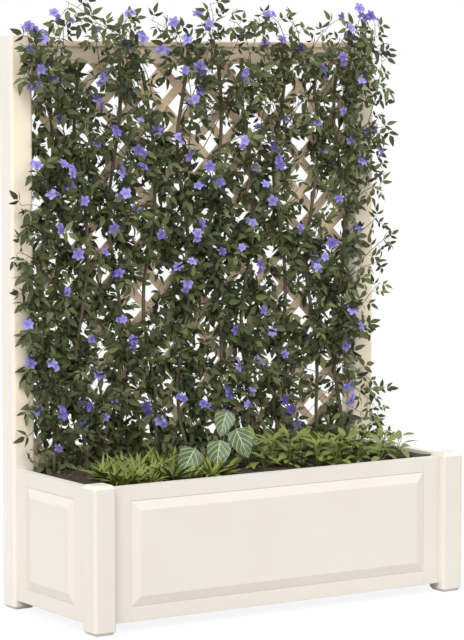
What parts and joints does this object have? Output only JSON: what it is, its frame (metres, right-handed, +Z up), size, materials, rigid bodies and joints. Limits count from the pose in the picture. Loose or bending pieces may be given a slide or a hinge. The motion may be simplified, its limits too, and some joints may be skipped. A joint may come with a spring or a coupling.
{
  "type": "planter with trellis",
  "caption": "Free-standing painted timber trough planter with raised-panel walls and a diagonal lattice trellis, planted with a flowering climber and low foliage",
  "frame": {"origin": "on the floor, under the middle of the trough", "axes": "+X runs along the trough to the right seen from the front, -Y is the front, away from the trellis, +Z is up"},
  "size_m": [1.1795, 0.46, 1.5384],
  "materials": {
    "painted_timber": "satin",
    "trellis_timber": "satin",
    "raw_timber": "matte",
    "screw_steel": "satin",
    "liner_plastic": "matte",
    "soil": "matte",
    "climber_bark": "matte",
    "climber_leaf": "satin",
    "petal": "matte",
    "tuft_leaf": "satin",
    "veined_leaf": "satin",
    "groundcover_leaf": "gloss"
  },
  "bodies": {
    "root": {"board_screws": "screw_steel", "cleat_screws": "screw_steel", "climber_flowers": "petal", "climber_lower_leaves": "climber_leaf", "climber_shoots": "climber_bark", "climber_stems": "climber_bark", "climber_upper_leaves": "climber_leaf", "floor_board_1": "raw_timber", "floor_board_2": "raw_timber", "floor_board_3": "raw_timber", "floor_board_4": "raw_timber", "floor_board_5": "raw_timber", "floor_board_6": "raw_timber", "floor_board_7": "raw_timber", "floor_board_8": "raw_timber", "floor_cleat_front": "raw_timber", "floor_cleat_rear": "raw_timber", "front_bottom_rail": "painted_timber", "front_left_stile": "painted_timber", "front_raised_panel": "painted_timber", "front_right_stile": "painted_timber", "front_top_rail": "painted_timber", "groundcover_leaves": "groundcover_leaf", "lattice_falling_slats": "trellis_timber", "lattice_rising_slats": "trellis_timber", "left_end_bottom_rail": "painted_timber", "left_end_left_stile": "painted_timber", "left_end_raised_panel": "painted_timber", "left_end_right_stile": "painted_timber", "left_end_top_rail": "painted_timber", "planter_liner": "liner_plastic", "post_front_left": "painted_timber", "post_front_right": "painted_timber", "post_rear_left": "painted_timber", "post_rear_right": "painted_timber", "potting_soil": "soil", "rear_bottom_rail": "painted_timber", "rear_left_stile": "painted_timber", "rear_raised_panel": "painted_timber", "rear_right_stile": "painted_timber", "rear_top_rail": "painted_timber", "right_end_bottom_rail": "painted_timber", "right_end_left_stile": "painted_timber", "right_end_raised_panel": "painted_timber", "right_end_right_stile": "painted_timber", "right_end_top_rail": "painted_timber", "trellis_bottom_rail": "trellis_timber", "trellis_cap": "trellis_timber", "trellis_top_rail": "trellis_timber", "tuft_leaves": "tuft_leaf", "veined_leaves": "veined_leaf", "veined_stalks": "veined_leaf"}
  },
  "joints": []
}
